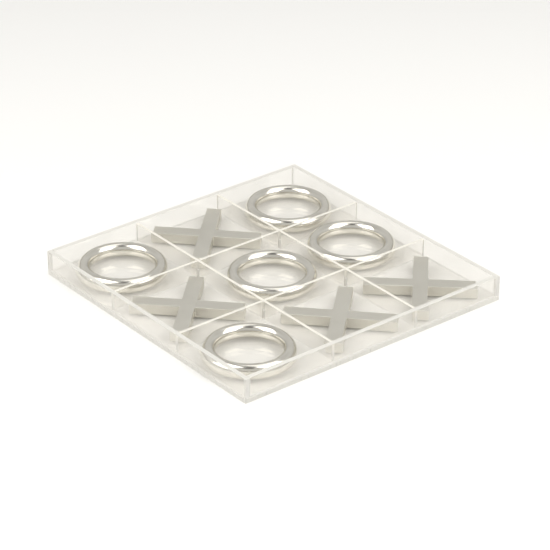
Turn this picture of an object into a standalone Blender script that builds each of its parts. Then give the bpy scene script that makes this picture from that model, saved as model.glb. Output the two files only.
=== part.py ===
"""Tic tac toe set: a clear acrylic tray of nine cells, five metal rings and four metal crosses.

Metres, +Z up. The origin is the centre of the tray's underside. +X and +Y run along the tray's sides.
"""
import math

import bmesh
import bpy

MM = 0.001

# Tray
TRAY_SIDE = 304.8 * MM
TRAY_HEIGHT = 25.4 * MM
SHEET = 4.8 * MM
DIVIDER_THICKNESS = 3.0 * MM
DIVIDER_DROP = 1.0 * MM
GAP = 0.3 * MM
SHEET_EDGE = 0.35 * MM
DIVIDER_EDGE = 0.25 * MM

# Rings
RING_OUTER = 85.6 * MM
RING_HOLE = 61.7 * MM
RING_HEIGHT = 14.0 * MM
RING_SECTION_POINTS = 12
RING_STEPS = 48

# Crosses
CROSS_SPAN = 105.0 * MM
CROSS_WIDTH = 14.4 * MM
CROSS_HEIGHT = 10.3 * MM
CROSS_EDGE = 0.6 * MM

INNER_SIDE = TRAY_SIDE - 2 * SHEET
CELL = (INNER_SIDE - 2 * DIVIDER_THICKNESS) / 3
PITCH = CELL + DIVIDER_THICKNESS
FLOOR = SHEET + GAP
WALL_HEIGHT = TRAY_HEIGHT - FLOOR
DIVIDER_TOP = TRAY_HEIGHT - DIVIDER_DROP
DIVIDER_HEIGHT = DIVIDER_TOP - FLOOR
DIVIDER_LENGTH = INNER_SIDE - 2 * GAP

# Each playing piece: its cell (column, row), then how far it lies off the cell's centre.
RING_PLACES = {
    "ring_left_back": (-1, 1, -1.4 * MM, 2.3 * MM),
    "ring_right_back": (1, 1, 1.8 * MM, 0.5 * MM),
    "ring_centre": (0, 0, 1.0 * MM, 0.9 * MM),
    "ring_right": (1, 0, 0.6 * MM, 1.4 * MM),
    "ring_left_front": (-1, -1, -4.5 * MM, 2.5 * MM),
}
# The last value of a cross is its turn in degrees from the cell's diagonals.
CROSS_PLACES = {
    "cross_back": (0, 1, 1.4 * MM, 3.7 * MM, -0.8),
    "cross_left": (-1, 0, 1.3 * MM, 1.7 * MM, -0.9),
    "cross_front": (0, -1, -0.8 * MM, -1.1 * MM, -1.5),
    "cross_right_front": (1, -1, -1.9 * MM, -2.3 * MM, 2.4),
}


def clear_scene():
    for obj in list(bpy.data.objects):
        bpy.data.objects.remove(obj, do_unlink=True)


def make_material(name, colour, roughness, metallic, transmission=0.0):
    material = bpy.data.materials.new(name)
    material.use_nodes = True
    shader = material.node_tree.nodes["Principled BSDF"]
    shader.inputs["Base Color"].default_value = (*colour, 1.0)
    shader.inputs["Roughness"].default_value = roughness
    shader.inputs["Metallic"].default_value = metallic
    shader.inputs["Transmission Weight"].default_value = transmission
    shader.inputs["IOR"].default_value = 1.49 if transmission else 1.45
    return material


def add_bevel(obj, width, segments):
    bevel = obj.modifiers.new("edge", "BEVEL")
    bevel.width = width
    bevel.segments = segments
    bevel.limit_method = "ANGLE"


def add_block(name, size, centre, material, collection):
    """A sheet or a bar with softened edges."""
    mesh = bpy.data.meshes.new(name)
    shape = bmesh.new()
    bmesh.ops.create_cube(shape, size=1.0)
    bmesh.ops.scale(shape, vec=size, verts=shape.verts)
    shape.to_mesh(mesh)
    shape.free()
    mesh.materials.append(material)
    obj = bpy.data.objects.new(name, mesh)
    obj.location = centre
    collection.objects.link(obj)
    add_bevel(obj, SHEET_EDGE, 1)
    return obj


def add_outline(name, points, thickness, edge, segments, material, collection):
    """A flat outline, extruded equally to both sides of its own plane."""
    curve = bpy.data.curves.new(name, "CURVE")
    curve.dimensions = "2D"
    curve.fill_mode = "BOTH"
    curve.extrude = thickness / 2
    spline = curve.splines.new("POLY")
    spline.points.add(len(points) - 1)
    for point, (across, up) in zip(spline.points, points):
        point.co = (across, up, 0.0, 1.0)
    spline.use_cyclic_u = True
    curve.materials.append(material)
    obj = bpy.data.objects.new(name, curve)
    collection.objects.link(obj)
    weld = obj.modifiers.new("weld", "WELD")
    weld.merge_threshold = 0.01 * MM
    add_bevel(obj, edge, segments)
    return obj


def cell_centre(column, row, along_x, along_y):
    return (column * PITCH + along_x, row * PITCH + along_y)


def make_base(material, collection):
    add_block("base_plate", (TRAY_SIDE, TRAY_SIDE, SHEET), (0, 0, SHEET / 2), material, collection)


def make_walls(material, collection):
    """Two full-length walls along Y, and two between them along X. All stand on the base plate."""
    outer = (TRAY_SIDE - SHEET) / 2
    middle = FLOOR + WALL_HEIGHT / 2
    between = INNER_SIDE - 2 * GAP
    for name, side in (("wall_left", -1), ("wall_right", 1)):
        size = (SHEET, TRAY_SIDE, WALL_HEIGHT)
        add_block(name, size, (side * outer, 0, middle), material, collection)
    for name, side in (("wall_front", -1), ("wall_back", 1)):
        size = (between, SHEET, WALL_HEIGHT)
        add_block(name, size, (0, side * outer, middle), material, collection)


def divider_outline(slots_open_at_top):
    """A strip seen from its side, with a half-height slot where each crossing divider passes."""
    half_length = DIVIDER_LENGTH / 2
    half_height = DIVIDER_HEIGHT / 2
    half_slot = DIVIDER_THICKNESS / 2 + GAP
    slotted = []
    for centre in (-PITCH / 2, PITCH / 2):
        slotted.append((centre - half_slot, half_height))
        slotted.append((centre - half_slot, -GAP / 2))
        slotted.append((centre + half_slot, -GAP / 2))
        slotted.append((centre + half_slot, half_height))
    points = [(-half_length, -half_height), (-half_length, half_height)]
    points += slotted
    points += [(half_length, half_height), (half_length, -half_height)]
    if slots_open_at_top:
        return points
    return [(across, -up) for across, up in points]


def make_dividers(material, collection):
    """Two strips along X with slots from above, and two along Y with slots from below."""
    middle = FLOOR + DIVIDER_HEIGHT / 2
    upright = math.radians(90)
    for name, side in (("divider_x_front", -1), ("divider_x_back", 1)):
        obj = add_outline(name, divider_outline(True), DIVIDER_THICKNESS, DIVIDER_EDGE, 1, material, collection)
        obj.rotation_euler = (upright, 0, 0)
        obj.location = (0, side * PITCH / 2, middle)
    for name, side in (("divider_y_left", -1), ("divider_y_right", 1)):
        obj = add_outline(name, divider_outline(False), DIVIDER_THICKNESS, DIVIDER_EDGE, 1, material, collection)
        obj.rotation_euler = (upright, 0, upright)
        obj.location = (side * PITCH / 2, 0, middle)


def make_ring(name, place, material, collection):
    """An oval section turned about the ring's own axis."""
    middle_radius = (RING_OUTER + RING_HOLE) / 4
    half_width = (RING_OUTER - RING_HOLE) / 4
    half_height = RING_HEIGHT / 2
    mesh = bpy.data.meshes.new(name)
    section = bmesh.new()
    corners = []
    for step in range(RING_SECTION_POINTS):
        angle = math.pi / 2 - 2 * math.pi * step / RING_SECTION_POINTS
        across = middle_radius + half_width * math.cos(angle)
        corners.append(section.verts.new((across, 0, half_height * math.sin(angle))))
    for step in range(RING_SECTION_POINTS):
        section.edges.new((corners[step], corners[(step + 1) % RING_SECTION_POINTS]))
    section.to_mesh(mesh)
    section.free()
    mesh.materials.append(material)
    obj = bpy.data.objects.new(name, mesh)
    column, row, along_x, along_y = place
    obj.location = (*cell_centre(column, row, along_x, along_y), FLOOR + half_height)
    collection.objects.link(obj)
    screw = obj.modifiers.new("turn", "SCREW")
    screw.steps = RING_STEPS
    screw.render_steps = RING_STEPS
    screw.use_smooth_shade = True
    screw.use_merge_vertices = True
    screw.merge_threshold = 0.01 * MM


def cross_outline():
    """Four arms, square-cut, meeting in one flush piece."""
    reach = CROSS_SPAN / 2
    half = CROSS_WIDTH / 2
    arm = [(reach, half), (reach, -half), (half, -half)]
    points = []
    for quarter in range(4):
        turn = -quarter * math.pi / 2
        cos, sin = math.cos(turn), math.sin(turn)
        points += [(x * cos - y * sin, x * sin + y * cos) for x, y in arm]
    return points


def make_cross(name, place, material, collection):
    column, row, along_x, along_y, turn = place
    obj = add_outline(name, cross_outline(), CROSS_HEIGHT, CROSS_EDGE, 2, material, collection)
    obj.rotation_euler = (0, 0, math.radians(45 + turn))
    obj.location = (*cell_centre(column, row, along_x, along_y), FLOOR + CROSS_HEIGHT / 2)


def main():
    clear_scene()
    collection = bpy.data.collections.new("tic_tac_toe_set")
    bpy.context.scene.collection.children.link(collection)
    acrylic = make_material("clear_acrylic", (0.95, 0.95, 0.92), 0.03, 0.0, 1.0)
    polished = make_material("polished_silver", (0.78, 0.76, 0.71), 0.12, 1.0)
    satin = make_material("satin_silver", (0.55, 0.53, 0.46), 0.45, 1.0)
    make_base(acrylic, collection)
    make_walls(acrylic, collection)
    make_dividers(acrylic, collection)
    for name, place in RING_PLACES.items():
        make_ring(name, place, polished, collection)
    for name, place in CROSS_PLACES.items():
        make_cross(name, place, satin, collection)


main()
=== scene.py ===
"""Looks of the tic tac toe set: clear acrylic tray, polished rings and satin crosses, on a pale floor."""
import math

import bpy
from mathutils import Matrix, Vector


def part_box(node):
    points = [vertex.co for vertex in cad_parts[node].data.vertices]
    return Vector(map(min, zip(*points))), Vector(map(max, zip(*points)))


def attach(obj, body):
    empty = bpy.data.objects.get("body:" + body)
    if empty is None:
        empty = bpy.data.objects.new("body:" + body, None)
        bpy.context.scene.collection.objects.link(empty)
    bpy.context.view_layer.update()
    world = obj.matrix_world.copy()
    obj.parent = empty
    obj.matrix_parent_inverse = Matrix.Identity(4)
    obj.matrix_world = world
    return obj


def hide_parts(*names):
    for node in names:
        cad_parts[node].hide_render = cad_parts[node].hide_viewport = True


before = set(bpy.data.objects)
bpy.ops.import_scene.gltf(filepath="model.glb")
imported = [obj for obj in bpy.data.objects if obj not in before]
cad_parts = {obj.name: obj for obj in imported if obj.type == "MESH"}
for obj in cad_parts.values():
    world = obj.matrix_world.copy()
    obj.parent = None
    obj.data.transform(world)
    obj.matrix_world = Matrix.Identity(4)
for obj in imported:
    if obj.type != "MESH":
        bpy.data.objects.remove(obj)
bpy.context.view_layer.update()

MM = 0.001
RINGS = sorted(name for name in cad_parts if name.startswith("ring_"))
CROSSES = sorted(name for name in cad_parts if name.startswith("cross_"))
DIVIDERS = sorted(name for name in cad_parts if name.startswith("divider_"))
WALLS_ALONG = {"x": ("wall_front", "wall_back"), "y": ("wall_left", "wall_right")}

# Camera: a long lens from a front corner, aimed at the tray
CAMERA_AZIMUTH = -39.07
CAMERA_ELEVATION = 28.51
CAMERA_ROLL = 0.38
CAMERA_DISTANCE = 2.454
CAMERA_RIGHT = 3.06 * MM
CAMERA_UP = 11.34 * MM
SENSOR = 36.0
LENS = 168.97

# Rings: the width of their section, as the CAD has it, and how finely they are turned
RING_WIDTH = 11.95 * MM
RING_TURNS = 192
RING_SECTION = 48

# Acrylic: its refraction, how cloudy its faces are, and how clear its sawn edges are (0 is white)
ACRYLIC_IOR = 1.49
SHEET_HAZE = 0.07
DIVIDER_HAZE = 0.05
EDGE_CLARITY = 0.15
# Walls and dividers have edges painted brighter from this height up, a painted light standing in for light
# carried through the sheet, and the base plate has them painted so all round
UPRIGHT_PAINTED_LIGHT_FROM = 14 * MM
BASE_PAINTED_LIGHT_FROM = -1.0
PAINTED_LIGHT_FADE = 6 * MM

# Studio: a square floor just under the tray
FLOOR_SIDE = 8.0
FLOOR_TOP = -0.3 * MM

# Softboxes: azimuth from the camera's and elevation in degrees, distance, width and height, watts
LIGHT_TINT = (1.0, 0.985, 0.96)
SOFTBOXES = {
    "softbox_left": (-64, 47, 1.7, (1.3, 1.4), 13.5),
    "softbox_right": (64, 47, 1.7, (1.3, 1.4), 13.5),
    "softbox_back": (120, 74, 1.8, (1.4, 1.0), 3.6),
}

# The unlit part of the room above the camera: its elevation, the angles where it fades, and its light
DARK_ELEVATION = 61
DARK_INNER = 3
DARK_OUTER = 17
DARK_LIGHT = 0.2


def direction(azimuth, elevation):
    """The unit vector from the object towards a viewer at these angles in degrees."""
    turn, rise = math.radians(azimuth), math.radians(elevation)
    level = math.cos(rise)
    return Vector((math.sin(turn) * level, -math.cos(turn) * level, math.sin(rise)))


# ---------------------------------------------------------------- material nodes


class Nodes:
    """A material under construction, with short ways to add and join nodes."""

    def __init__(self, name):
        self.material = bpy.data.materials.new(name)
        self.material.use_nodes = True
        self.tree = self.material.node_tree
        self.tree.nodes.clear()
        self.output = self.tree.nodes.new("ShaderNodeOutputMaterial")

    def add(self, kind, inputs=None, **settings):
        node = self.tree.nodes.new("ShaderNode" + kind)
        for key, value in settings.items():
            setattr(node, key, value)
        for key, value in (inputs or {}).items():
            self.feed(node.inputs[key], value)
        return node

    def feed(self, socket, value):
        if isinstance(value, bpy.types.NodeSocket):
            self.tree.links.new(value, socket)
        else:
            socket.default_value = value

    def finish(self, shader):
        self.tree.links.new(shader, self.output.inputs["Surface"])
        return self.material

    def place(self, scale=(1, 1, 1), turn=0.0):
        """Coordinates on the object, stretched by scale and turned about Z."""
        where = self.add("TexCoord")
        stretched = self.add("Mapping")
        self.feed(stretched.inputs["Vector"], where.outputs["Object"])
        stretched.inputs["Scale"].default_value = scale
        stretched.inputs["Rotation"].default_value = (0, 0, turn)
        return stretched.outputs["Vector"]

    def noise(self, vector, scale, detail=2.0, roughness=0.5):
        inputs = {"Vector": vector, "Scale": scale, "Detail": detail, "Roughness": roughness}
        return self.add("TexNoise", inputs).outputs["Fac"]

    def spread(self, value, low, high, start=0.0, end=1.0):
        """Maps value from start..end to low..high."""
        node = self.add("MapRange", {"Value": value, "From Min": start, "From Max": end})
        node.inputs["To Min"].default_value = low
        node.inputs["To Max"].default_value = high
        return node.outputs["Result"]

    def blend(self, factor, first, second):
        node = self.add("Mix", data_type="RGBA")
        self.feed(node.inputs["Factor"], factor)
        self.feed(node.inputs[6], first)
        self.feed(node.inputs[7], second)
        return node.outputs[2]

    def bump(self, height, strength, distance, normal=None):
        inputs = {"Height": height, "Strength": strength, "Distance": distance}
        if normal is not None:
            inputs["Normal"] = normal
        return self.add("Bump", inputs).outputs["Normal"]


def rgba(red, green, blue):
    return (red, green, blue, 1.0)


def acrylic(name, thin_axis, edge_colour_with_painted_light, haze, painted_light_from):
    """Clear sheet with polished faces. Its sawn edges are satin, and painted brighter above the given
    height: painted light that stands in for light carried through the sheet.
    """
    nodes = Nodes(name)
    here = nodes.place()
    cloud = nodes.noise(here, 45.0, 3.0)
    scuffs = nodes.noise(here, 900.0, 2.0)
    saw = nodes.noise(nodes.place((1, 1, 0.1), 0.6), 1500.0, 2.0)
    waves = nodes.bump(cloud, 0.04, 0.0004)
    normal = nodes.bump(scuffs, 0.02, 0.0001, waves)

    cloudy = nodes.spread(cloud, 0.0, 1.0, 0.3, 0.7)
    colour = nodes.blend(cloudy, rgba(0.95, 0.942, 0.926), rgba(0.98, 0.973, 0.959))
    smooth = nodes.spread(cloud, 0.0, 0.03, 0.35, 0.7)
    face = nodes.add("BsdfPrincipled", {"Base Color": colour, "Roughness": smooth, "Normal": normal})
    face.inputs["Transmission Weight"].default_value = 1.0 - haze
    face.inputs["IOR"].default_value = ACRYLIC_IOR

    # Saw marks vary the edge colour at random; that colour is partly painted light, standing in for light
    # carried through the sheet
    paler = rgba(*(min(1.0, 1.07 * part) for part in edge_colour_with_painted_light[:3]))
    saw_marks_and_painted_light = nodes.blend(nodes.spread(saw, 0.0, 1.0, 0.3, 0.7), edge_colour_with_painted_light, paler)
    height = nodes.add("SeparateXYZ", {"Vector": here}).outputs["Z"]
    # Painted light: from the given height up, the sawn edges blend from a plain grey to the brighter edge
    # colour
    painted_light_mask = nodes.spread(height, 0.0, 1.0, painted_light_from, painted_light_from + PAINTED_LIGHT_FADE)
    edge_tone_and_painted_light = nodes.blend(painted_light_mask, rgba(0.72, 0.71, 0.68), saw_marks_and_painted_light)
    rough = nodes.spread(saw, 0.25, 0.45, 0.3, 0.7)
    edge = nodes.add("BsdfPrincipled", {"Base Color": edge_tone_and_painted_light, "Roughness": rough, "Normal": normal})
    edge.inputs["Transmission Weight"].default_value = EDGE_CLARITY
    edge.inputs["IOR"].default_value = ACRYLIC_IOR

    split = nodes.add("SeparateXYZ", {"Vector": nodes.add("NewGeometry").outputs["True Normal"]})
    broad = nodes.add("Math", {0: split.outputs[thin_axis]}, operation="ABSOLUTE").outputs["Value"]
    is_edge = nodes.spread(broad, 1.0, 0.0, 0.75, 0.95)
    sheet = nodes.add("MixShader", {"Fac": is_edge, 1: face.outputs["BSDF"], 2: edge.outputs["BSDF"]})

    clear = nodes.add("BsdfTransparent", {"Color": rgba(0.955, 0.952, 0.943)})
    path = nodes.add("LightPath")
    soft = nodes.add("Math", operation="MAXIMUM")
    nodes.feed(soft.inputs[0], path.outputs["Is Shadow Ray"])
    nodes.feed(soft.inputs[1], path.outputs["Is Diffuse Ray"])
    inputs = {"Fac": soft.outputs["Value"], 1: sheet.outputs["Shader"], 2: clear.outputs["BSDF"]}
    return nodes.finish(nodes.add("MixShader", inputs).outputs["Shader"])


def polished_metal():
    """Warm silver plate with fine polishing marks and faint smudges."""
    nodes = Nodes("polished_metal")
    here = nodes.place()
    smudge = nodes.noise(here, 60.0, 3.0, 0.6)
    fine = nodes.noise(nodes.place((1, 1, 4)), 1400.0, 2.0)
    smudged = nodes.spread(smudge, 0.0, 1.0, 0.3, 0.7)
    colour = nodes.blend(smudged, rgba(0.80, 0.775, 0.71), rgba(0.87, 0.85, 0.79))
    rough_smudge = nodes.spread(smudge, 0.12, 0.21, 0.3, 0.75)
    rough_fine = nodes.spread(fine, -0.02, 0.03)
    rough = nodes.add("Math", {0: rough_smudge, 1: rough_fine}, operation="ADD").outputs["Value"]
    metal = nodes.add("BsdfPrincipled", {"Base Color": colour, "Roughness": rough})
    metal.inputs["Metallic"].default_value = 1.0
    nodes.feed(metal.inputs["Normal"], nodes.bump(fine, 0.05, 0.0001))
    return nodes.finish(metal.outputs["BSDF"])


def satin_metal():
    """Warm grey satin plate with a fine grain along the diagonals and slight wear at its edges."""
    nodes = Nodes("satin_metal")
    quarter = math.pi / 4
    along = nodes.noise(nodes.place((12, 1, 1), quarter), 260.0, 3.0)
    across = nodes.noise(nodes.place((1, 12, 1), quarter), 260.0, 3.0)
    grain = nodes.add("Math", {0: along, 1: across}, operation="ADD").outputs["Value"]
    patch = nodes.noise(nodes.place(), 35.0, 2.0)
    patchy = nodes.spread(patch, 0.0, 1.0, 0.3, 0.7)
    colour = nodes.blend(patchy, rgba(0.73, 0.71, 0.645), rgba(0.79, 0.77, 0.705))
    wear = nodes.spread(nodes.add("NewGeometry").outputs["Pointiness"], 0.0, 0.5, 0.52, 0.6)
    worn = nodes.blend(wear, colour, rgba(0.88, 0.865, 0.80))
    rough = nodes.spread(grain, 0.34, 0.5, 0.7, 1.3)
    metal = nodes.add("BsdfPrincipled", {"Base Color": worn, "Roughness": rough})
    metal.inputs["Metallic"].default_value = 1.0
    nodes.feed(metal.inputs["Normal"], nodes.bump(grain, 0.12, 0.0001))
    return nodes.finish(metal.outputs["BSDF"])


def floor_material():
    """Matt white paper with a barely visible tooth, painted a little darker where metal mirrors it: painted
    shade in its reflections.
    """
    nodes = Nodes("studio_paper")
    tooth = nodes.noise(nodes.place(), 700.0, 3.0)
    colour = nodes.blend(tooth, rgba(0.93, 0.93, 0.925), rgba(0.95, 0.95, 0.945))
    paper = nodes.add("BsdfPrincipled", {"Base Color": colour, "Roughness": 0.95})
    paper.inputs["Specular IOR Level"].default_value = 0.1
    # Painted shade: the paper seen in metal reflections gets this darker colour
    mirrored_paper_painted_darker = nodes.add("BsdfDiffuse", {"Color": rgba(0.90, 0.895, 0.875)})
    mirrored = nodes.add("LightPath").outputs["Is Glossy Ray"]
    inputs = {"Fac": mirrored, 1: paper.outputs["BSDF"], 2: mirrored_paper_painted_darker.outputs["BSDF"]}
    return nodes.finish(nodes.add("MixShader", inputs).outputs["Shader"])


# ---------------------------------------------------------------- pieces


def dress(node, material):
    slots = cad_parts[node].data.materials
    slots.clear()
    slots.append(material)


def make_ring(node, material):
    """A finely turned ring of oval section in the box of its CAD node."""
    low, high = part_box(node)
    centre = (low + high) / 2
    half_height = (high.z - low.z) / 2
    half_width = RING_WIDTH / 2
    middle = (high.x - low.x) / 2 - half_width
    verts = []
    for turn in range(RING_TURNS):
        angle = 2 * math.pi * turn / RING_TURNS
        for step in range(RING_SECTION):
            round_section = 2 * math.pi * step / RING_SECTION
            radius = middle + half_width * math.cos(round_section)
            rise = half_height * math.sin(round_section)
            spot = Vector((radius * math.cos(angle), radius * math.sin(angle), rise))
            verts.append(centre + spot)
    faces = []
    for turn in range(RING_TURNS):
        here = turn * RING_SECTION
        there = (turn + 1) % RING_TURNS * RING_SECTION
        for step in range(RING_SECTION):
            after = (step + 1) % RING_SECTION
            faces.append((here + step, there + step, there + after, here + after))
    mesh = bpy.data.meshes.new(node + "_turned")
    mesh.from_pydata(verts, [], faces)
    mesh.shade_smooth()
    mesh.materials.append(material)
    ring = bpy.data.objects.new(node + "_turned", mesh)
    bpy.context.scene.collection.objects.link(ring)
    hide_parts(node)
    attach(ring, node)


def dress_tray():
    """A sheet that runs along X is thin along Y, and one along Y is thin along X."""
    dress("base_plate", acrylic("acrylic_base", "Z", rgba(0.74, 0.725, 0.685), SHEET_HAZE, BASE_PAINTED_LIGHT_FROM))
    # Edge colours: satin sawn edges whose pale tone is partly painted light, standing in for light carried
    # through the sheet, palest on the dividers
    wall_edge_painted_light = rgba(0.74, 0.73, 0.69)
    divider_edge_painted_light = rgba(0.88, 0.855, 0.785)
    for along, thin_axis in (("x", "Y"), ("y", "X")):
        wall = acrylic("acrylic_walls_" + along, thin_axis, wall_edge_painted_light, SHEET_HAZE, UPRIGHT_PAINTED_LIGHT_FROM)
        name = "acrylic_dividers_" + along
        divider = acrylic(name, thin_axis, divider_edge_painted_light, DIVIDER_HAZE, UPRIGHT_PAINTED_LIGHT_FROM)
        for node in WALLS_ALONG[along]:
            dress(node, wall)
        for node in DIVIDERS:
            if node.startswith("divider_" + along):
                dress(node, divider)


# ---------------------------------------------------------------- studio


def make_floor():
    place = (0, 0, FLOOR_TOP)
    bpy.ops.mesh.primitive_grid_add(size=FLOOR_SIDE, x_subdivisions=8, y_subdivisions=8, location=place)
    floor = bpy.context.object
    floor.name = "studio_floor"
    floor.data.materials.append(floor_material())


def make_softbox(name, azimuth, elevation, distance, size, power):
    light = bpy.data.lights.new(name, "AREA")
    light.shape = "RECTANGLE"
    light.size, light.size_y = size
    light.energy = power
    light.color = LIGHT_TINT
    lamp = bpy.data.objects.new(name, light)
    toward = direction(azimuth, elevation)
    lamp.location = toward * distance
    lamp.rotation_mode = "QUATERNION"
    lamp.rotation_quaternion = toward.to_track_quat("Z", "Y")
    bpy.context.scene.collection.objects.link(lamp)


def make_world():
    """Soft room light, greyer overhead and towards the horizon, with a dark place high above the camera."""
    world = bpy.data.worlds.new("studio_room")
    bpy.context.scene.world = world
    world.use_nodes = True
    tree = world.node_tree
    where = tree.nodes.new("ShaderNodeTexCoord")
    split = tree.nodes.new("ShaderNodeSeparateXYZ")
    ramp = tree.nodes.new("ShaderNodeValToRGB")
    tree.links.new(where.outputs["Generated"], split.inputs["Vector"])
    tree.links.new(split.outputs["Z"], ramp.inputs["Fac"])
    toward = tree.nodes.new("ShaderNodeVectorMath")
    toward.operation = "DOT_PRODUCT"
    toward.inputs[1].default_value = direction(CAMERA_AZIMUTH, DARK_ELEVATION)
    tree.links.new(where.outputs["Generated"], toward.inputs[0])
    fade = tree.nodes.new("ShaderNodeMapRange")
    fade.inputs["From Min"].default_value = math.cos(math.radians(DARK_OUTER))
    fade.inputs["From Max"].default_value = math.cos(math.radians(DARK_INNER))
    fade.inputs["To Min"].default_value = 1.0
    fade.inputs["To Max"].default_value = DARK_LIGHT
    tree.links.new(toward.outputs["Value"], fade.inputs["Value"])
    tree.links.new(fade.outputs["Result"], tree.nodes["Background"].inputs["Strength"])
    tree.links.new(ramp.outputs["Color"], tree.nodes["Background"].inputs["Color"])
    stops = ramp.color_ramp.elements
    stops[0].position, stops[0].color = 0.0, rgba(0.40, 0.394, 0.375)
    stops[1].position, stops[1].color = 1.0, rgba(0.46, 0.454, 0.438)
    middle = stops.new(0.45)
    middle.color = rgba(0.64, 0.632, 0.61)


def make_camera():
    back = direction(CAMERA_AZIMUTH, CAMERA_ELEVATION)
    right = (-back).cross(Vector((0, 0, 1))).normalized()
    up = right.cross(-back)
    roll = math.radians(CAMERA_ROLL)
    across = right * math.cos(roll) + up * math.sin(roll)
    upward = up * math.cos(roll) - right * math.sin(roll)
    place = back * CAMERA_DISTANCE + across * CAMERA_RIGHT + upward * CAMERA_UP
    data = bpy.data.cameras.new("camera")
    data.sensor_width = SENSOR
    data.lens = LENS
    data.clip_start, data.clip_end = 0.05, 50.0
    camera = bpy.data.objects.new("camera", data)
    turned = Matrix((across, upward, back)).transposed().to_4x4()
    camera.matrix_world = Matrix.Translation(place) @ turned
    bpy.context.scene.collection.objects.link(camera)
    bpy.context.scene.camera = camera


def make_lights():
    for name, (azimuth, elevation, distance, size, power) in SOFTBOXES.items():
        make_softbox(name, CAMERA_AZIMUTH + azimuth, elevation, distance, size, power)


def set_look():
    scene = bpy.context.scene
    scene.view_settings.view_transform = "Standard"
    scene.cycles.max_bounces = 24
    scene.cycles.transmission_bounces = 24
    scene.cycles.transparent_max_bounces = 32


make_camera()
make_floor()
make_world()
make_lights()
set_look()
dress_tray()
RING_METAL = polished_metal()
CROSS_METAL = satin_metal()
for ring_node in RINGS:
    make_ring(ring_node, RING_METAL)
for cross_node in CROSSES:
    dress(cross_node, CROSS_METAL)

bpy.context.view_layer.update()
